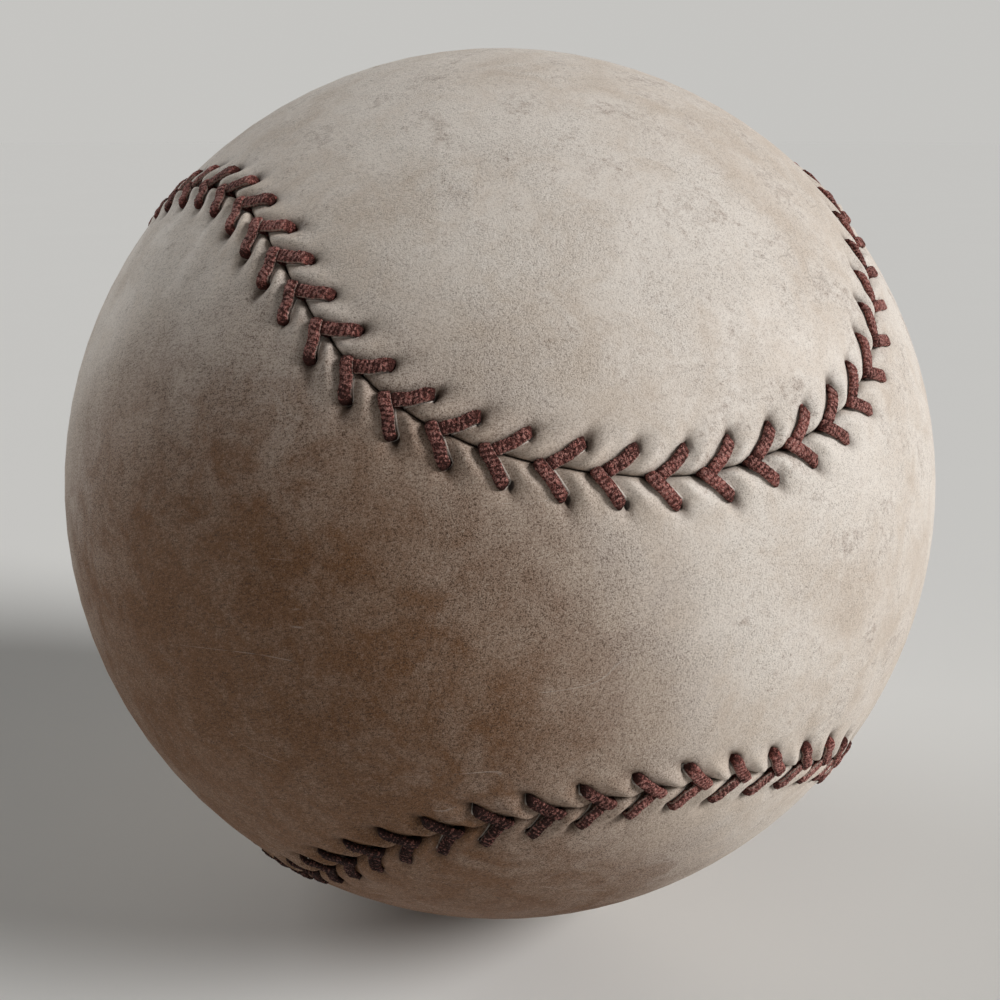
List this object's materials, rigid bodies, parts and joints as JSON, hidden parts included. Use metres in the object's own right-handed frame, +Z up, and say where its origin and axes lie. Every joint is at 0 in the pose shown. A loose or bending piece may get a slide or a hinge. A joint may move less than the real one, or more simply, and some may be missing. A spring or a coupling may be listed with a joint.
{
  "type": "baseball",
  "caption": "Worn leather baseball: cork and rubber core, wool windings, two figure-8 leather covers sewn together with V stitches of dark red waxed thread.",
  "frame": {"origin": "centre of the ball", "axes": "+Y from the front cover's waist to the back cover's waist; +Z up, through the back cover's upper lobe; the ball rests at its lowest point, on -Z"},
  "size_m": [0.0738, 0.0738, 0.0738],
  "materials": {
    "cork": "matt ground cork and rubber",
    "black_rubber": "matt moulded rubber",
    "red_rubber": "matt moulded rubber",
    "grey_wool": "tightly wound plied wool yarn",
    "white_wool": "tightly wound plied wool yarn",
    "cotton": "fine wound cotton yarn",
    "adhesive": "dried latex adhesive film",
    "leather": "worn cream leather with grime, fine grain and scratches",
    "stitch_thread": "dark red twisted waxed thread, worn pale at its edges"
  },
  "bodies": {
    "root": {"cork_core": "cork", "black_rubber_shell_upper": "black_rubber", "black_rubber_shell_lower": "black_rubber", "red_rubber_washer": "red_rubber", "red_rubber_shell": "red_rubber", "first_wool_winding": "grey_wool", "second_wool_winding": "white_wool", "third_wool_winding": "grey_wool", "cotton_finish_winding": "cotton", "front_adhesive_coat": "adhesive", "back_adhesive_coat": "adhesive", "front_cover": "leather", "back_cover": "leather", "first_stitch_thread": "stitch_thread", "second_stitch_thread": "stitch_thread"}
  },
  "joints": []
}
